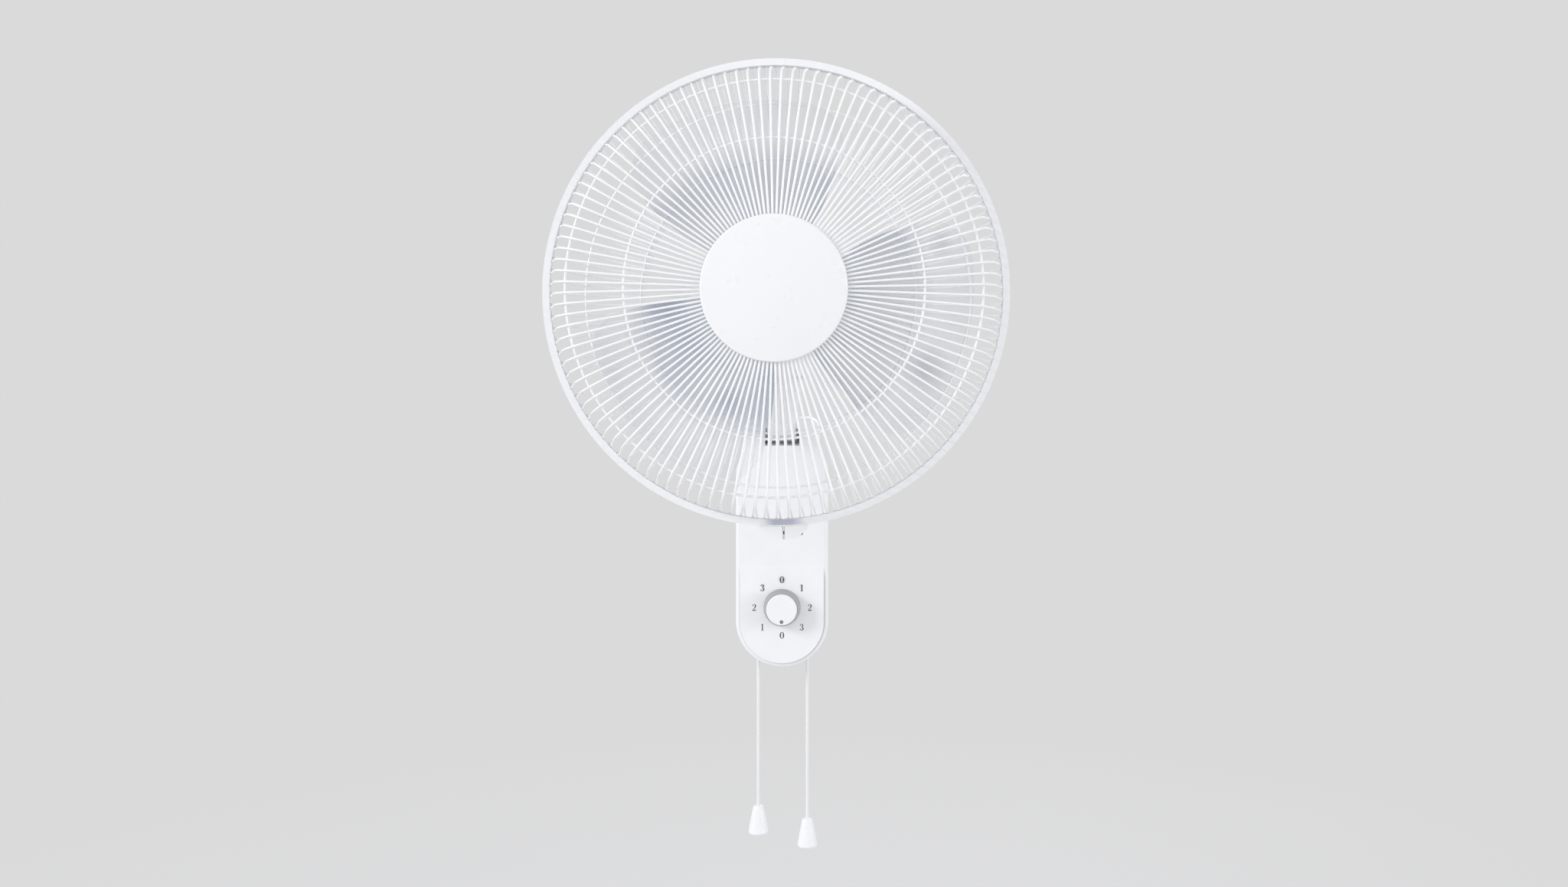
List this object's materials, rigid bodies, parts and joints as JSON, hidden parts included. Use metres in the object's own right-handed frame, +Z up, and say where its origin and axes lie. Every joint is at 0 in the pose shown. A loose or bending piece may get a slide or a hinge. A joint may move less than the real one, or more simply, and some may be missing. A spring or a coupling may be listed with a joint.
{
  "type": "wall fan",
  "caption": "Wall-mounted oscillating fan with a round wire guard, translucent blades, tilting neck, rotary speed knob and pull cords.",
  "frame": {"origin": "centre of the wall plate's four screw holes, on the wall", "axes": "+Y into the wall, -Y out into the room, +Z up, +X to the right of someone who faces the fan"},
  "size_m": [0.4408, 0.3376, 0.8174],
  "materials": {
    "white_plastic": "gloss moulded white",
    "coated_wire": "gloss white powder coat",
    "grey_plastic": "satin grey",
    "black_plastic": "matt black",
    "clear_nylon": "milky nylon",
    "clear_blade": "clear bluish moulding",
    "zinc_steel": "bright zinc plate",
    "plate_steel": "satin galvanised",
    "cast_frame": "die cast",
    "lamination": "stacked laminations",
    "copper": "enamelled copper",
    "bronze": "sintered bronze",
    "braided_cord": "white braided"
  },
  "bodies": {
    "base": {"base_front_shell": "white_plastic", "base_rear_shell": "white_plastic", "wall_plate": "plate_steel", "base_screws": "zinc_steel", "cable_gland": "white_plastic", "cord_bushes": "white_plastic", "tilt_bolt": "zinc_steel", "tilt_nut": "zinc_steel", "tilt_washers": "black_plastic", "ear_caps": "white_plastic", "speed_switch": "black_plastic", "oscillation_switch": "black_plastic", "capacitor": "black_plastic", "terminal_block": "clear_nylon"},
    "neck_arm": {"neck": "white_plastic", "swing_bush": "bronze", "link_post": "zinc_steel"},
    "head": {"cradle": "plate_steel", "swing_pin": "zinc_steel", "swing_washer": "zinc_steel", "swing_screw": "zinc_steel", "drive_motor": "zinc_steel", "motor_front_frame": "cast_frame", "motor_rear_frame": "cast_frame", "frame_screws": "zinc_steel", "stator_core": "lamination", "stator_windings": "copper", "shaft_bearings": "bronze", "motor_front_cover": "white_plastic", "motor_rear_cover": "white_plastic", "front_guard_wires": "coated_wire", "rear_guard_wires": "coated_wire", "front_guard_rings": "coated_wire", "rear_guard_rings": "coated_wire", "front_guard_plate": "coated_wire", "rear_guard_plate": "coated_wire", "guard_lock_nut": "white_plastic", "badge": "white_plastic", "rim_band": "white_plastic", "clamp_lugs": "white_plastic", "clamp_screw": "zinc_steel", "clamp_nut": "zinc_steel", "clamp_bridge_plate": "grey_plastic"},
    "rotor": {"motor_shaft": "zinc_steel", "rotor_core": "lamination", "shaft_washers": "black_plastic", "drive_pin": "zinc_steel", "blade_rotor": "clear_blade", "spinner_nut": "white_plastic"},
    "crank_arm": {"crank": "zinc_steel"},
    "link": {"swing_link": "zinc_steel"},
    "knob": {"knob_body": "grey_plastic", "knob_cap": "white_plastic", "knob_shaft": "grey_plastic"},
    "speed_pull": {"speed_pull_rod": "zinc_steel", "speed_cord": "braided_cord", "speed_bell": "white_plastic"},
    "oscillation_pull": {"oscillation_pull_rod": "zinc_steel", "oscillation_cord": "braided_cord", "oscillation_bell": "white_plastic"}
  },
  "joints": [
    {"name": "neck_tilt", "type": "hinge", "parent": "base", "child": "neck_arm", "pos_m": [0, -0.042, 0.106], "axis": [1, 0, 0], "range_deg": [-10, 15]},
    {"name": "head_swing", "type": "hinge", "parent": "neck_arm", "child": "head", "pos_m": [0, -0.128, 0.17], "axis": [0, 0, 1], "range_deg": [-40, 40]},
    {"name": "rotor_spin", "type": "hinge", "parent": "head", "child": "rotor", "pos_m": [0, -0.252, 0.25], "axis": [0, -1, 0], "continuous": true},
    {"name": "crank_turn", "type": "hinge", "parent": "head", "child": "crank_arm", "pos_m": [0.012, -0.112, 0.19], "axis": [0, 0, 1], "range_deg": [-90, 90]},
    {"name": "link_turn", "type": "hinge", "parent": "crank_arm", "child": "link", "pos_m": [0.01971, -0.112, 0.1856], "axis": [0, 0, 1], "range_deg": [-90, 90]},
    {"name": "knob_turn", "type": "hinge", "parent": "base", "child": "knob", "pos_m": [0, -0.07, -0.078], "axis": [0, -1, 0], "continuous": true},
    {"name": "speed_pull_slide", "type": "slide", "parent": "base", "child": "speed_pull", "axis": [0, 0, -1], "range_m": [0, 0.01], "stiffness_N_per_m": 500, "springref_m": -0.005},
    {"name": "oscillation_pull_slide", "type": "slide", "parent": "base", "child": "oscillation_pull", "axis": [0, 0, -1], "range_m": [0, 0.01], "stiffness_N_per_m": 500, "springref_m": -0.005}
  ],
  "couplings": [
    {"joint": "crank_turn", "follows": "head_swing", "ratio": -2.25},
    {"joint": "link_turn", "follows": "head_swing", "ratio": 2.25}
  ]
}
